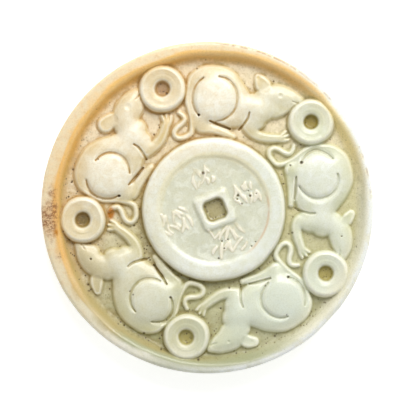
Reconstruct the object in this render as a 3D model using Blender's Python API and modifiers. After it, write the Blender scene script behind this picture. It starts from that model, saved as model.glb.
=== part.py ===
"""Jade roundel, lying face up: five rats run clockwise round a large cash coin.

Each rat has a small coin before its nose. Lengths are in metres, +Z is up out of the carved face and
+Y points to the top of the design. The origin is under the middle of the disc. Bearings are degrees
clockwise from +Y, as on a compass.
"""
import math
from collections import namedtuple

import bmesh
import bpy
from mathutils import Vector

MM = 0.001

# The blank disc
DISC_RADIUS = 50.0 * MM
THICKNESS = 12.0 * MM
EDGE_ROUND = 1.3 * MM
EDGE_ROUND_STEPS = 2
DISC_STEPS = 64

# The ground that the carver cut down to, and the rim left standing round it
RELIEF = 3.4 * MM
GROUND = THICKNESS - RELIEF
RECESS_CENTRE = Vector((1.35 * MM, -0.2 * MM, 0.0))
RECESS_TOP_RADIUS = 46.6 * MM
RECESS_FOOT_RADIUS = 44.5 * MM
RIM_ROUND = 0.5 * MM

# The large coin in the middle
COIN_CENTRE = Vector((2.0 * MM, -0.55 * MM, 0.0))
COIN_RADIUS = 21.6 * MM
COIN_EASE = 0.7 * MM
COIN_FLARE = 0.2 * MM
FIELD_RADIUS = 16.2 * MM
FIELD_DEPTH = 1.2 * MM
FIELD_SLOPE = 0.9 * MM
COIN_STEPS = 48
SQUARE_CENTRE = Vector((2.3 * MM, -0.6 * MM, 0.0))
SQUARE_SIDE = 9.9 * MM
SQUARE_BEVEL = 0.6 * MM
SQUARE_HOLE_SIDE = 6.0 * MM
SQUARE_HOLE_DEPTH = 2.4 * MM
SQUARE_HOLE_BEVEL = 0.9 * MM
SQUARE_TURN = math.radians(21.6)
SQUARE_DROP = 0.3 * MM

# The ring of rats and small coins
CARVING_CENTRE = Vector((1.7 * MM, -0.4 * MM, 0.0))
SMALL_COIN_BEARINGS = (48.7, 119.8, 191.8, 265.0, 337.0)
SMALL_COIN_DISTANCE = 39.4 * MM
SMALL_COIN_RADIUS = 7.05 * MM
SMALL_COIN_RISE = 2.9 * MM
SMALL_COIN_EASE = 0.6 * MM
SMALL_COIN_FLARE = 0.1 * MM
SMALL_COIN_DISH_RADIUS = 5.1 * MM
SMALL_COIN_DISH_DEPTH = 0.5 * MM
SMALL_COIN_DISH_SLOPE = 0.35 * MM
SMALL_COIN_HOLE_RADIUS = 2.25 * MM
SMALL_COIN_HOLE_EASE = 0.5 * MM
SMALL_COIN_HOLE_FLOOR = GROUND + 0.3 * MM
SMALL_COIN_STEPS = 22

# Each rat: where its pose starts, how far its haunch is moved on (degrees) and out (mm), how far the pose is
# drawn out ahead, how far out its foot lies and ahead its elbow, how thin its neck is, and its jaw and ear as
# (degrees ahead of the haunch, mm from the carving's centre, half width in mm)
Rat = namedtuple("Rat", "bearing haunch_shift haunch_out reach foot_out elbow neck_in jaw ear")
RATS = (
    Rat(0.3, 0.5, 0.2, 1.0, -0.5, 0.0, 1.8,
        ((28.5, 35.8, 3.0), (31.4, 34.8, 2.5), (34.4, 36.9, 2.2), (36.8, 40.4, 1.5)),
        ((23.6, 38.0, 2.2), (22.2, 39.6, 2.6), (21.2, 40.6, 2.9))),
    Rat(72.0, 1.3, 0.0, 0.985, 0.7, 2.5, 0.0,
        ((28.5, 37.6, 2.3), (32.0, 38.3, 2.1), (35.2, 39.8, 1.9), (37.4, 41.4, 1.4)),
        ((26.0, 39.6, 1.2), (22.9, 40.7, 2.0), (20.5, 41.7, 1.5))),
    Rat(143.0, -0.4, 1.2, 0.98, 0.6, -1.2, 0.0,
        ((28.5, 36.8, 2.9), (31.0, 37.4, 2.5), (33.4, 39.4, 2.1), (36.4, 41.6, 1.4)),
        ((25.0, 39.9, 1.7), (22.8, 41.2, 2.1), (20.4, 41.9, 1.7))),
    Rat(214.5, 0.1, 0.0, 1.035, -0.4, 0.0, 0.0,
        ((28.5, 37.4, 2.6), (31.8, 38.3, 2.2), (34.8, 38.4, 2.0), (37.0, 40.6, 1.5)),
        ((25.0, 40.0, 1.9), (22.3, 41.4, 2.1), (19.3, 42.6, 1.2))),
    Rat(288.5, -0.8, 0.0, 1.0, -0.6, -2.5, 0.3,
        ((28.5, 36.8, 3.0), (32.0, 37.5, 2.5), (35.0, 38.3, 2.2), (37.2, 40.6, 1.6)),
        ((25.6, 39.6, 1.9), (22.6, 40.5, 2.4), (19.8, 41.1, 2.7))),
)
# Where the back is drawn in for a thin neck, and how widely, in degrees ahead
NECK_AHEAD = 12.5
NECK_SPREAD = 6.0
HAUNCH_DISTANCE = 33.2 * MM
HAUNCH_RADIUS = 6.6 * MM
HAUNCH_STEPS = 18
HIP_AHEAD = 1.4
HIP_DISTANCE = 35.2 * MM
HIP_RADIUS = 8.0 * MM
HIP_RISE = 2.55 * MM

# A swelling this wide rises this far, and narrower ones rise by the power below
FULL_HALF_WIDTH = HAUNCH_RADIUS
FULL_RISE = 3.2 * MM
RISE_POWER = 0.5
# How deep each raised piece is let into the ground, and its widest line below the ground
ROOT = 0.7 * MM
WAIST = 0.12 * MM

# The rat's limbs as (degrees ahead of the haunch, mm from the carving's centre, half width in mm)
BACK = (
    (-11.0, 37.8, 1.3),
    (-8.5, 39.9, 1.8),
    (-4.0, 41.2, 2.2),
    (1.0, 41.3, 2.3),
    (6.0, 40.4, 2.7),
    (10.5, 37.8, 3.4),
    (14.0, 35.0, 4.0),
    (18.0, 33.2, 4.2),
    (22.5, 33.0, 4.4),
    (26.8, 33.5, 3.8),
)
BELLY = ((3.0, 28.3, 2.6), (8.0, 28.0, 3.0), (13.0, 28.1, 3.1), (16.5, 29.2, 3.2))
FLANK = ((8.5, 33.6, 3.6), (13.0, 31.8, 3.8))
HEAD = ((24.5, 36.6, 3.2), (29.0, 39.0, 3.8), (33.5, 40.4, 3.3), (37.0, 41.4, 2.1), (39.0, 42.2, 1.1))
FORELEG = (
    (24.3, 33.0, 3.4),
    (25.3, 30.0, 3.4),
    (23.4, 27.1, 2.35),
    (28.0, 25.9, 1.9),
    (33.0, 26.1, 1.75),
    (38.0, 27.2, 1.65),
    (42.4, 29.0, 1.6),
    (45.0, 30.7, 1.5),
)
# How much of the elbow's shift each point of the foreleg takes
ELBOW_SHARES = (0.0, 0.3, 1.0, 0.5, 0.0, 0.0, 0.0, 0.0)
THIGH = ((-1.0, 31.6, 4.8), (-4.4, 29.2, 3.2), (-7.2, 27.5, 2.3), (-8.6, 26.2, 1.9))
SHANK = ((-8.2, 26.6, 2.0), (-8.6, 25.3, 1.85))
FOOT = ((-3.0, 24.6, 1.65), (3.5, 24.0, 1.5), (9.5, 23.4, 1.35), (15.0, 23.0, 1.1))
TAIL = (
    (-10.6, 38.4, 1.25),
    (-12.5, 36.3, 1.15),
    (-13.8, 33.6, 1.1),
    (-13.6, 30.6, 1.0),
    (-13.3, 28.0, 1.0),
    (-14.2, 25.2, 1.0),
    (-16.4, 23.6, 1.0),
    (-20.3, 23.1, 1.0),
    (-24.8, 23.4, 1.0),
    (-27.4, 24.6, 1.0),
    (-26.6, 26.0, 1.0),
    (-23.6, 26.9, 1.0),
    (-19.8, 27.5, 1.0),
    (-17.6, 28.5, 1.0),
    (-18.0, 29.8, 0.9),
    (-19.6, 31.0, 0.7),
)

# A limb's end is drawn out in these steps: (reach, half width), each as a share of its last half width
LIMB_END = ((0.65, 0.76), (0.95, 0.31))

# Sides of the round sections of the body, the limbs and the tail
BODY_SIDES = 8
LIMB_SIDES = 8
TAIL_SIDES = 6

# How far a cutter stands above what it cuts, how close two points are taken as one, and how near to
# a limb's middle plane a point still counts as lying in it
OVERSHOOT = 1.0 * MM
JOIN_DISTANCE = 0.01 * MM
LEVEL = 0.05 * MM

JADE = (0.74, 0.75, 0.60, 1.0)


def clear_scene():
    for obj in list(bpy.data.objects):
        bpy.data.objects.remove(obj, do_unlink=True)


def new_collection(name, parent):
    collection = bpy.data.collections.new(name)
    parent.children.link(collection)
    return collection


def jade():
    material = bpy.data.materials.new("jade")
    material.use_nodes = True
    shader = material.node_tree.nodes["Principled BSDF"]
    shader.inputs["Base Color"].default_value = JADE
    shader.inputs["Roughness"].default_value = 0.35
    shader.inputs["Metallic"].default_value = 0.0
    return material


def on_compass(bearing, distance):
    """The point of the carving at this bearing and distance from its centre."""
    angle = math.radians(bearing)
    return CARVING_CENTRE + Vector((distance * math.sin(angle), distance * math.cos(angle), 0.0))


def helper(name, mesh, collection):
    """An object that a Boolean takes: it isn't part of the finished piece by itself."""
    obj = bpy.data.objects.new(name, mesh)
    obj.hide_render = True
    obj.display_type = "WIRE"
    collection.objects.link(obj)
    return obj


def turned_mesh(name, profile, steps):
    """The profile turned about Z: (radius, height) from its top on the axis to its bottom on the axis."""
    mesh = bpy.data.meshes.new(name)
    points = [(radius, 0.0, height) for radius, height in profile]
    mesh.from_pydata(points, [(i, i + 1) for i in range(len(points) - 1)], [])
    obj = bpy.data.objects.new(name, mesh)
    bpy.context.scene.collection.objects.link(obj)
    screw = obj.modifiers.new("Turn", "SCREW")
    screw.steps = steps
    screw.render_steps = steps
    screw.use_merge_vertices = True
    screw.merge_threshold = JOIN_DISTANCE
    turned = evaluated_mesh(obj)
    bpy.data.objects.remove(obj)
    return turned


def evaluated_mesh(obj):
    """A mesh of the object with its modifiers or its curve worked out, with doubled points joined."""
    bpy.context.view_layer.update()
    graph = bpy.context.evaluated_depsgraph_get()
    mesh = bpy.data.meshes.new_from_object(obj.evaluated_get(graph))
    shape = bmesh.new()
    shape.from_mesh(mesh)
    bmesh.ops.remove_doubles(shape, verts=shape.verts, dist=JOIN_DISTANCE)
    bmesh.ops.recalc_face_normals(shape, faces=shape.faces)
    shape.to_mesh(mesh)
    shape.free()
    return mesh


def rounded_corner(centre_radius, centre_height, size, start, stop):
    """Points of a quarter round in a profile, from one angle to another in degrees above the horizontal."""
    points = []
    for i in range(EDGE_ROUND_STEPS + 1):
        angle = math.radians(start + (stop - start) * i / EDGE_ROUND_STEPS)
        points.append((centre_radius + size * math.cos(angle), centre_height + size * math.sin(angle)))
    return points


def blank_mesh():
    """The plain disc, with its two outer edges rounded."""
    inner = DISC_RADIUS - EDGE_ROUND
    profile = [(0.0, THICKNESS)]
    profile += rounded_corner(inner, THICKNESS - EDGE_ROUND, EDGE_ROUND, 90, 0)
    profile += rounded_corner(inner, EDGE_ROUND, EDGE_ROUND, 0, -90)
    profile += [(0.0, 0.0)]
    return turned_mesh("blank", profile, DISC_STEPS)


def recess_mesh():
    """What is cut away inside the rim: sloping walls, with the rim's inner edge eased."""
    profile = [
        (0.0, THICKNESS + OVERSHOOT),
        (RECESS_TOP_RADIUS + RIM_ROUND, THICKNESS + OVERSHOOT),
        (RECESS_TOP_RADIUS + RIM_ROUND, THICKNESS),
        (RECESS_TOP_RADIUS - 0.3 * RIM_ROUND, THICKNESS - RIM_ROUND),
        (RECESS_FOOT_RADIUS, GROUND),
        (0.0, GROUND),
    ]
    return turned_mesh("recess", profile, DISC_STEPS)


def large_coin_mesh():
    """A flat ring with eased edges round a sunk field."""
    field = THICKNESS - FIELD_DEPTH
    profile = [
        (0.0, field),
        (FIELD_RADIUS - FIELD_SLOPE, field),
        (FIELD_RADIUS - 0.25 * FIELD_SLOPE, field + 0.75 * FIELD_DEPTH),
        (FIELD_RADIUS + 0.3 * FIELD_SLOPE, THICKNESS),
        (COIN_RADIUS - COIN_EASE, THICKNESS),
        (COIN_RADIUS, THICKNESS - COIN_EASE),
        (COIN_RADIUS + COIN_FLARE, GROUND - ROOT),
        (0.0, GROUND - ROOT),
    ]
    return turned_mesh("large_coin", profile, COIN_STEPS)


def small_coin_mesh():
    """A rounded outer band, a dished ring inside it and a blind drilled hole."""
    top = GROUND + SMALL_COIN_RISE
    dish = top - SMALL_COIN_DISH_DEPTH
    hole = SMALL_COIN_HOLE_RADIUS
    profile = [
        (0.0, SMALL_COIN_HOLE_FLOOR),
        (0.9 * hole, SMALL_COIN_HOLE_FLOOR),
        (hole, dish - 0.5 * SMALL_COIN_HOLE_EASE),
        (hole + SMALL_COIN_HOLE_EASE, dish),
        (SMALL_COIN_DISH_RADIUS, dish),
        (SMALL_COIN_DISH_RADIUS + SMALL_COIN_DISH_SLOPE, top),
        (SMALL_COIN_RADIUS - SMALL_COIN_FLARE - SMALL_COIN_EASE, top),
        (SMALL_COIN_RADIUS - SMALL_COIN_FLARE, top - SMALL_COIN_EASE),
        (SMALL_COIN_RADIUS + SMALL_COIN_FLARE, GROUND - ROOT),
        (0.0, GROUND - ROOT),
    ]
    return turned_mesh("small_coin", profile, SMALL_COIN_STEPS)


def box_mesh(name, side, bottom, top, bevel):
    """A square block standing on Z with its upright and top edges bevelled."""
    middle = 0.5 * (bottom + top)
    shape = bmesh.new()
    bmesh.ops.create_cube(shape, size=1.0)
    bmesh.ops.scale(shape, vec=(side, side, top - bottom), verts=shape.verts)
    bmesh.ops.translate(shape, vec=(0.0, 0.0, middle), verts=shape.verts)
    upper = [edge for edge in shape.edges if max(v.co.z for v in edge.verts) > middle]
    bmesh.ops.bevel(shape, geom=upper, offset=bevel, segments=2, profile=0.5, affect="EDGES")
    mesh = bpy.data.meshes.new(name)
    shape.to_mesh(mesh)
    shape.free()
    return mesh


def lift(mesh):
    """Turns round swellings into carved relief, where the height follows the rise law.

    The widest line sinks a little under the ground, and all that is below it becomes a flat root.
    """
    for vertex in mesh.vertices:
        height = vertex.co.z
        if height > LEVEL:
            vertex.co.z = GROUND + FULL_RISE * (height / FULL_HALF_WIDTH) ** RISE_POWER
        elif height > -LEVEL:
            vertex.co.z = GROUND - WAIST
        else:
            vertex.co.z = GROUND - ROOT


def smooth_route(route, rings):
    """The route as (x, y, half width) in metres, with points read from a smooth curve through its own."""
    knots = []
    for bearing, distance, half_width in route:
        place = on_compass(bearing, distance * MM)
        knots.append(Vector((place.x, place.y, half_width * MM)))
    before = 2 * knots[0] - knots[1]
    after = 2 * knots[-1] - knots[-2]
    ends = [before, *knots, after]
    points = []
    for a, b, c, d in zip(ends, ends[1:], ends[2:], ends[3:]):
        for step in range(rings):
            t = step / rings
            points.append(0.5 * (2 * b + (c - a) * t + (2 * a - 5 * b + 4 * c - d) * t ** 2
                                 + (3 * b - a - 3 * c + d) * t ** 3))
    points.append(knots[-1])
    return points


def rounded_ends(points):
    """The points with both ends drawn out and narrowed, so that a limb ends in a round."""
    def cap(end, inner):
        out = Vector((end.x - inner.x, end.y - inner.y)).normalized()
        made = []
        for reach, width in LIMB_END:
            made.append(Vector((end.x + out.x * reach * end.z, end.y + out.y * reach * end.z, width * end.z)))
        return made

    return cap(points[0], points[1])[::-1] + points + cap(points[-1], points[-2])


def limb(name, route, sides, rings, collection):
    """A tapered round member along the route, lifted into relief, with this many rings to each span."""
    points = rounded_ends(smooth_route(route, rings))
    curve = bpy.data.curves.new(name, "CURVE")
    curve.dimensions = "3D"
    curve.twist_mode = "Z_UP"
    curve.bevel_depth = 1.0 * MM
    curve.bevel_resolution = (sides - 4) // 2
    curve.use_fill_caps = True
    spline = curve.splines.new("POLY")
    spline.points.add(len(points) - 1)
    for knot, point in zip(spline.points, points):
        knot.co = (point.x, point.y, 0.0, 1.0)
        knot.radius = point.z / curve.bevel_depth
    guide = bpy.data.objects.new(name, curve)
    bpy.context.scene.collection.objects.link(guide)
    mesh = evaluated_mesh(guide)
    bpy.data.objects.remove(guide)
    lift(mesh)
    return helper(name, mesh, collection)


def dome(name, bearing, distance, radius, rise, collection):
    """A round swelling on the body, of this rise over the ground."""
    shape = bmesh.new()
    bmesh.ops.create_uvsphere(
        shape, u_segments=HAUNCH_STEPS, v_segments=HAUNCH_STEPS // 2, radius=FULL_HALF_WIDTH)
    mesh = bpy.data.meshes.new(name)
    shape.to_mesh(mesh)
    shape.free()
    lift(mesh)
    for vertex in mesh.vertices:
        vertex.co.x *= radius / FULL_HALF_WIDTH
        vertex.co.y *= radius / FULL_HALF_WIDTH
        if vertex.co.z > GROUND:
            vertex.co.z = GROUND + (vertex.co.z - GROUND) * rise / FULL_RISE
    obj = helper(name, mesh, collection)
    obj.location = on_compass(bearing, distance)
    return obj


def add_rat(number, rat, collection):
    """One rat, running clockwise from its bearing."""
    def add(part, route, sides=LIMB_SIDES):
        posed = [(rat.bearing + (ahead * rat.reach if ahead > 0 else ahead), distance, half)
                 for ahead, distance, half in route]
        limb(f"rat_{number}_{part}", posed, sides, 1, collection)

    def drawn_in(ahead, distance):
        return distance - rat.neck_in * math.exp(-((ahead - NECK_AHEAD) / NECK_SPREAD) ** 2)

    haunch_bearing = rat.bearing + rat.haunch_shift
    haunch_distance = HAUNCH_DISTANCE + rat.haunch_out * MM
    dome(f"rat_{number}_haunch", haunch_bearing, haunch_distance, HAUNCH_RADIUS, FULL_RISE, collection)
    dome(f"rat_{number}_hip", rat.bearing + HIP_AHEAD, HIP_DISTANCE, HIP_RADIUS, HIP_RISE, collection)
    add("back", [(ahead, drawn_in(ahead, distance), half) for ahead, distance, half in BACK], BODY_SIDES)
    add("belly", BELLY)
    add("flank", FLANK)
    add("head", HEAD, BODY_SIDES)
    add("jaw", rat.jaw)
    add("ear", rat.ear)
    add("foreleg", [(ahead + rat.elbow * share, distance, half)
                    for (ahead, distance, half), share in zip(FORELEG, ELBOW_SHARES)])
    add("thigh", THIGH)
    add("hind_leg", SHANK[:1] + tuple((ahead, distance + rat.foot_out, half)
                                      for ahead, distance, half in SHANK[1:] + FOOT))
    add("tail", TAIL, TAIL_SIDES)


def boolean(obj, name, operation, collection):
    modifier = obj.modifiers.new(name, "BOOLEAN")
    modifier.operation = operation
    modifier.operand_type = "COLLECTION"
    modifier.collection = collection
    modifier.solver = "EXACT"


def build():
    clear_scene()
    scene_collection = bpy.context.scene.collection
    roundel_collection = new_collection("jade_roundel", scene_collection)
    raised = new_collection("raised", scene_collection)
    recess = new_collection("recess_cutter", scene_collection)
    square = new_collection("square_cutter", scene_collection)

    helper("recess", recess_mesh(), recess).location = RECESS_CENTRE
    helper("large_coin", large_coin_mesh(), raised).location = COIN_CENTRE
    coin = small_coin_mesh()
    for number, bearing in enumerate(SMALL_COIN_BEARINGS, 1):
        place = on_compass(bearing, SMALL_COIN_DISTANCE)
        helper(f"small_coin_{number}", coin, raised).location = place
    for number, rat in enumerate(RATS, 1):
        add_rat(number, rat, raised)

    top = THICKNESS - SQUARE_DROP
    foot = THICKNESS - FIELD_DEPTH - ROOT
    over = THICKNESS + SQUARE_HOLE_BEVEL + OVERSHOOT
    border_mesh = box_mesh("square_border", SQUARE_SIDE, foot, top, SQUARE_BEVEL)
    hole_mesh = box_mesh("square_hole", SQUARE_HOLE_SIDE, top - SQUARE_HOLE_DEPTH, over, SQUARE_HOLE_BEVEL)
    border = helper("square_border", border_mesh, raised)
    hole = helper("square_hole", hole_mesh, square)
    for block in (border, hole):
        block.location = SQUARE_CENTRE
        block.rotation_euler.z = SQUARE_TURN

    roundel = bpy.data.objects.new("jade_roundel", blank_mesh())
    roundel.data.materials.clear()
    roundel.data.materials.append(jade())
    roundel_collection.objects.link(roundel)
    boolean(roundel, "Sink the ground", "DIFFERENCE", recess)
    boolean(roundel, "Raise the carving", "UNION", raised)
    boolean(roundel, "Sink the square", "DIFFERENCE", square)


build()
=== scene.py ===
import math
from collections import namedtuple
from functools import partial, reduce

import bpy
import numpy as np
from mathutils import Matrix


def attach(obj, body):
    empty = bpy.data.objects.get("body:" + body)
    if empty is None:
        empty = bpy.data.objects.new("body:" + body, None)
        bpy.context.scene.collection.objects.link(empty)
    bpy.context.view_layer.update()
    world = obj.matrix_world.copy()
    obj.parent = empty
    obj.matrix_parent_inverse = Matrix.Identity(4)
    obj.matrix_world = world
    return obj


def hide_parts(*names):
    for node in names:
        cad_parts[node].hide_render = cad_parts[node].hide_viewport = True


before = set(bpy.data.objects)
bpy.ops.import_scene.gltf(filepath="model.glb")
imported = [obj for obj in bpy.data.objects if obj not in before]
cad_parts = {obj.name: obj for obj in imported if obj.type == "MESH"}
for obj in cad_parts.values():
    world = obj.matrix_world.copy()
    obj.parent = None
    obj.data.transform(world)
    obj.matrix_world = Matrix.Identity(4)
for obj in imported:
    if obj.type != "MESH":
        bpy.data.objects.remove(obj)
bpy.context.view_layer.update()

MM = 0.001

# The sizes of the solid that this mesh stands for
DISC_RADIUS = 50.0
THICKNESS = 12.0
EDGE_ROUND = 1.3
RELIEF = 3.4
GROUND = THICKNESS - RELIEF
RECESS_CENTRE = (1.35, -0.2)
RECESS_TOP_RADIUS = 46.6
RECESS_FOOT_RADIUS = 44.5
COIN_CENTRE = (2.0, -0.55)
COIN_RADIUS = 21.6
FIELD_RADIUS = 16.2
FIELD_DEPTH = 1.2
SQUARE_CENTRE = (2.3, -0.6)
SQUARE_SIDE = 9.9
SQUARE_ROUNDING = 0.12
SQUARE_HOLE_SIDE = 6.0
SQUARE_HOLE_ROUNDING = 0.27
SQUARE_HOLE_DEPTH = 2.4
SQUARE_TURN = 21.6
SQUARE_DROP = 0.3
SQUARE_TOP = THICKNESS - SQUARE_DROP
CARVING_CENTRE = (1.7, -0.4)
SMALL_COIN_BEARINGS = (48.7, 119.8, 191.8, 265.0, 337.0)
SMALL_COIN_DISTANCE = 39.4
SMALL_COIN_RADIUS = 7.05
SMALL_COIN_RISE = 2.9
SMALL_COIN_DISH_RADIUS = 5.1
SMALL_COIN_DISH_DEPTH = 0.5
SMALL_COIN_HOLE_RADIUS = 2.25
RIM_EASE = 0.4
COIN_EASE = 0.22
COIN_FILLET = 0.4
SQUARE_HOLE_FILLET = 0.25

# Each rat: its bearing, where its haunch lies, how far the pose is drawn out ahead, how far out its foot
# lies, how far ahead its elbow lies, how thin its neck is, its jaw and ear as routes, its eye as (degrees
# ahead, distance, hollow, pit), and the cuts on both sides of the haunch as (first angle, last angle,
# radii between)
Rat = namedtuple("Rat", "bearing haunch_shift haunch_out reach foot_out elbow neck_in "
                        "jaw ear eye left_cut right_cut")
RATS = (
    Rat(0.3, 0.5, 0.2, 1.0, -0.5, 0.0, 1.8,
        ((28.5, 35.8, 3.0), (31.4, 34.8, 2.5), (34.4, 36.9, 2.2), (36.8, 40.4, 1.5)),
        ((24.4, 38.6, 2.0), (22.6, 39.8, 2.7), (20.8, 40.8, 2.4), (18.6, 42.0, 1.0)),
        (30.7, 39.9, 0.8, 0.0), (-31, -138, (6.9, 6.8, 7.0)), (10, 176, (6.5, 6.8, 6.9, 7.2))),
    Rat(72.0, 1.3, 0.0, 0.985, 0.7, 2.5, 0.0,
        ((28.5, 37.6, 2.3), (32.0, 38.3, 2.1), (35.2, 39.8, 1.9), (37.4, 41.4, 1.4)),
        ((26.0, 39.6, 1.2), (22.9, 40.7, 2.0), (20.5, 41.7, 1.5)),
        (30.5, 39.6, 0.4, 0.3), (-36, -122, (6.9, 8.0, 6.7)), (9, 169, (5.5, 6.4, 6.6, 6.4))),
    Rat(143.0, -0.4, 1.2, 0.98, 0.6, -1.2, 0.0,
        ((28.5, 36.8, 2.9), (31.0, 37.4, 2.5), (33.4, 39.4, 2.1), (36.4, 41.6, 1.4)),
        ((25.0, 39.9, 1.7), (22.8, 41.2, 2.1), (20.4, 41.9, 1.7)),
        (30.8, 40.2, 0.5, 0.0), (-40, -128, (7.0, 7.2, 7.0)), (20, 176, (5.3, 5.8, 6.5, 7.0))),
    Rat(214.5, 0.1, 0.0, 1.035, -0.4, 0.0, 0.0,
        ((28.5, 37.4, 2.6), (31.8, 38.3, 2.2), (34.8, 38.4, 2.0), (37.0, 40.6, 1.5)),
        ((25.0, 40.0, 1.9), (22.3, 41.4, 2.1), (19.3, 42.6, 1.2)),
        (32.0, 39.7, 0.4, 0.45), (-38, -131, (6.7, 7.6, 7.1, 6.1)), (18, 172, (5.8, 6.3, 6.6, 6.5))),
    Rat(288.5, -0.8, 0.0, 1.0, -0.6, -2.5, 0.3,
        ((28.5, 36.8, 3.0), (32.0, 37.5, 2.5), (35.0, 38.3, 2.2), (37.2, 40.6, 1.6)),
        ((25.6, 39.6, 1.9), (22.6, 40.5, 2.4), (19.8, 41.1, 2.7)),
        (31.8, 39.9, 1.1, 0.0), (-30, -136, (6.8, 7.3, 7.2, 7.0)), (33, 156, (5.9, 6.9, 7.1, 6.7))),
)
HAUNCH_DISTANCE = 33.2
HAUNCH_RADIUS = 6.6
HAUNCH_FALL = 0.85
HAUNCH_POWER = 2.4
HAUNCH_SLOPE = 1.6
FULL_RISE = 3.2
RISE_POWER = 0.5
SECTION_POWER = 0.56
BODY_SLOPE = 2.0
HIP = (1.4, 35.2, 8.0)
HIP_RISE = 2.55
THIGH_RISE = 2.5
FOOT_SHARE = 0.85

# Where the neck is drawn in and over how many degrees, which points of the hind leg are the foot, how
# far each point of the foreleg moves with the elbow, and where the chest is fullest
NECK_AHEAD = 12.5
NECK_SPREAD = 6.0
FOOT_DISTANCE = 26.0
ELBOW_SHARES = (0.0, 0.3, 1.0, 0.5, 0.0, 0.0, 0.0, 0.0)
CHEST_AHEAD = 24.0
CHEST_DISTANCE = 32.5

# The rat's limbs as (degrees ahead of the haunch, mm from the carving's centre, half width in mm)
BACK = (
    (-11.0, 37.8, 1.3), (-8.5, 39.9, 1.8), (-4.0, 41.2, 2.2), (1.0, 41.3, 2.3),
    (6.0, 40.4, 2.7), (10.5, 37.8, 3.4), (14.0, 35.0, 4.0), (18.0, 33.2, 4.2),
    (22.5, 33.0, 4.4), (26.8, 33.5, 3.8),
)
BELLY = ((3.0, 28.3, 2.6), (8.0, 28.0, 3.0), (13.0, 28.1, 3.1), (16.5, 29.2, 3.2))
FLANK = ((8.5, 33.6, 3.6), (13.0, 31.8, 3.8))
HEAD = ((24.5, 36.6, 3.2), (29.0, 39.0, 3.8), (33.5, 40.4, 3.3), (37.0, 41.4, 2.1), (39.0, 42.2, 1.1))
FORELEG = (
    (24.3, 33.0, 3.4), (25.3, 30.0, 3.4), (23.4, 27.1, 2.35), (28.0, 25.9, 1.9),
    (33.0, 26.1, 1.75), (38.0, 27.2, 1.65), (42.2, 28.9, 1.5), (43.8, 29.8, 1.2),
)
FINGERS = (
    ((42.4, 29.4, 0.9), (42.9, 30.8, 0.8), (43.1, 32.0, 0.6)),
    ((43.4, 29.2, 0.9), (44.6, 30.5, 0.8), (45.4, 31.7, 0.6)),
    ((43.8, 28.8, 0.9), (46.0, 29.8, 0.8), (47.4, 30.8, 0.6)),
)
THIGH = ((-1.0, 31.6, 4.8), (-4.4, 29.2, 3.2), (-7.2, 27.5, 2.3), (-8.6, 26.2, 1.9))
HIND_LEG = (
    (-8.2, 26.6, 2.0), (-8.6, 25.3, 1.85), (-3.0, 24.6, 1.65), (3.5, 24.0, 1.5),
    (9.5, 23.4, 1.35), (15.0, 23.0, 1.1),
)
TAIL = (
    (-10.6, 38.4, 1.25), (-12.5, 36.3, 1.15), (-13.8, 33.6, 1.1), (-13.6, 30.6, 1.0),
    (-13.3, 28.0, 1.0), (-14.2, 25.2, 1.0), (-16.4, 23.6, 1.0), (-20.3, 23.1, 1.0),
    (-24.8, 23.4, 1.0), (-27.4, 24.6, 1.0), (-26.6, 26.0, 1.0), (-23.6, 26.9, 1.0),
    (-19.8, 27.5, 1.0), (-17.6, 28.5, 1.0), (-18.0, 29.8, 0.9), (-19.6, 31.0, 0.7),
)

# Cut lines in the same terms, and how deep each one is cut
CHEST_LINE = ((20.5, 30.8, 0.4), (20.7, 29.2, 0.5), (20.0, 27.6, 0.5), (18.8, 26.0, 0.5), (17.8, 25.0, 0.4))
LEG_LINE = ((-2.4, 26.9, 0.35), (1.0, 26.3, 0.5), (4.5, 25.8, 0.55), (8.0, 25.4, 0.5), (11.5, 25.0, 0.4))
MOUTH_LINE = ((38.8, 41.0, 0.4), (37.4, 40.6, 0.35), (36.4, 40.4, 0.25))
CHEST_DEPTH = 0.6
LEG_DEPTH = 0.85
MOUTH_DEPTH = 0.25

# The cuts round a haunch, as (half width, depth), the eyes, and the hollows in the ears
HAUNCH_CUTS = ((1.4, 0.3), (0.6, 0.45))
EYE_DEPTH = 0.25
EAR_SHARE = 0.72
EAR_DEPTH = 0.42

# The shallow strokes on the coin's field: where each group lies, how far it is turned, and half a
# stroke's length
STROKE_GROUPS = ((-1.1, 9.2, 21.0, 1.2), (11.6, 4.6, 24.0, 1.3), (6.4, -9.6, 14.0, 1.9),
                 (-9.0, -4.0, 25.0, 1.5))
STROKE_RISE = 0.26

# The large dark pits, as (x, y, radius), and how many small ones are scattered
DARK_PITS = (
    (-1.3, 10.3, 0.65), (12.9, 3.5, 0.5), (10.4, 1.1, 0.35), (9.2, 3.6, 0.5), (9.0, 2.5, 0.35),
    (12.3, 5.0, 0.25), (14.7, 4.2, 0.25), (4.4, -10.1, 0.35), (6.2, -9.6, 0.3), (5.1, -12.3, 0.35),
    (3.4, -15.3, 0.4), (14.5, -10.3, 0.25), (13.3, -11.6, 0.3), (-2.5, 27.9, 0.45), (-3.1, 41.9, 0.35),
    (20.0, 38.1, 0.35), (28.3, 13.5, 0.65), (25.6, -7.6, 0.4), (23.0, 7.1, 0.35), (15.6, -18.5, 0.4),
    (6.6, -24.2, 0.4), (4.0, -30.5, 0.35), (23.8, -32.3, 0.25), (-2.7, -45.8, 0.5), (-13.9, -42.7, 0.45),
    (-14.4, -39.6, 0.4), (-19.1, -37.9, 0.5), (-36.0, -23.3, 0.45), (-25.1, -35.6, 0.35), (-23.3, -25.2, 0.3),
    (-16.2, -17.4, 0.35), (-17.6, -15.2, 0.35), (-12.3, 34.4, 0.5), (-16.1, 22.0, 0.35), (-40.6, 11.5, 0.4),
    (-41.0, 7.6, 0.4), (-32.8, 14.5, 0.3), (-26.4, 3.5, 0.45),
)
DARK_PIT_DEPTH = 0.35
SQUARE_PITS = 30
HOLE_PITS = 5
SCATTERED_PITS = 60

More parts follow.
